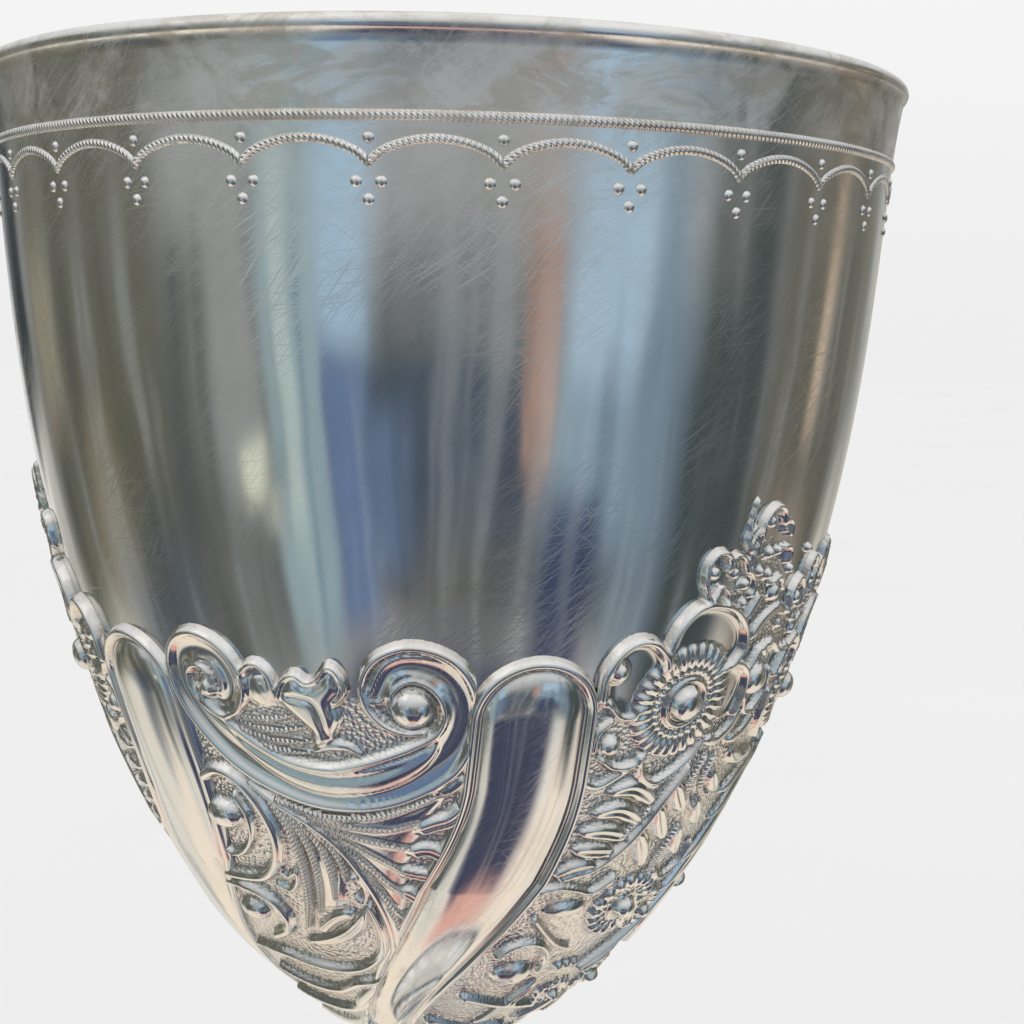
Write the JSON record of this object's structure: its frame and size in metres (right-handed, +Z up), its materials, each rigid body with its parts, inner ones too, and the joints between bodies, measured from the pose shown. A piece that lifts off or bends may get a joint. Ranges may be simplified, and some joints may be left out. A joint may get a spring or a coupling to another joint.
{
  "type": "cup trophy",
  "caption": "Footed presentation goblet with an egg-shaped chased bowl, swirl lobes, scalloped border, knopped stem and domed foot.",
  "frame": {"origin": "centre of the foot, on the surface it stands on", "axes": "+Z up along the axis of the goblet, towards the lip; -Y is the side with the lobe nearest the front"},
  "size_m": [0.0846, 0.0846, 0.1868],
  "materials": {
    "silver": "polished silver plate with fine wear scratches and tarnish in the recesses",
    "brass": "turned, dulled",
    "steel": "bright drawn steel"
  },
  "bodies": {
    "root": {"bowl": "silver", "stud_boss": "brass", "tie_stud": "steel", "bowl_collar": "silver", "stem_upper": "silver", "knop_upper": "silver", "knop_lower": "silver", "knop_wire": "silver", "stem_lower": "silver", "foot": "silver", "foot_wire": "silver", "clamp_washer": "brass", "spring_washer": "steel", "fixing_nut": "brass"}
  },
  "joints": []
}
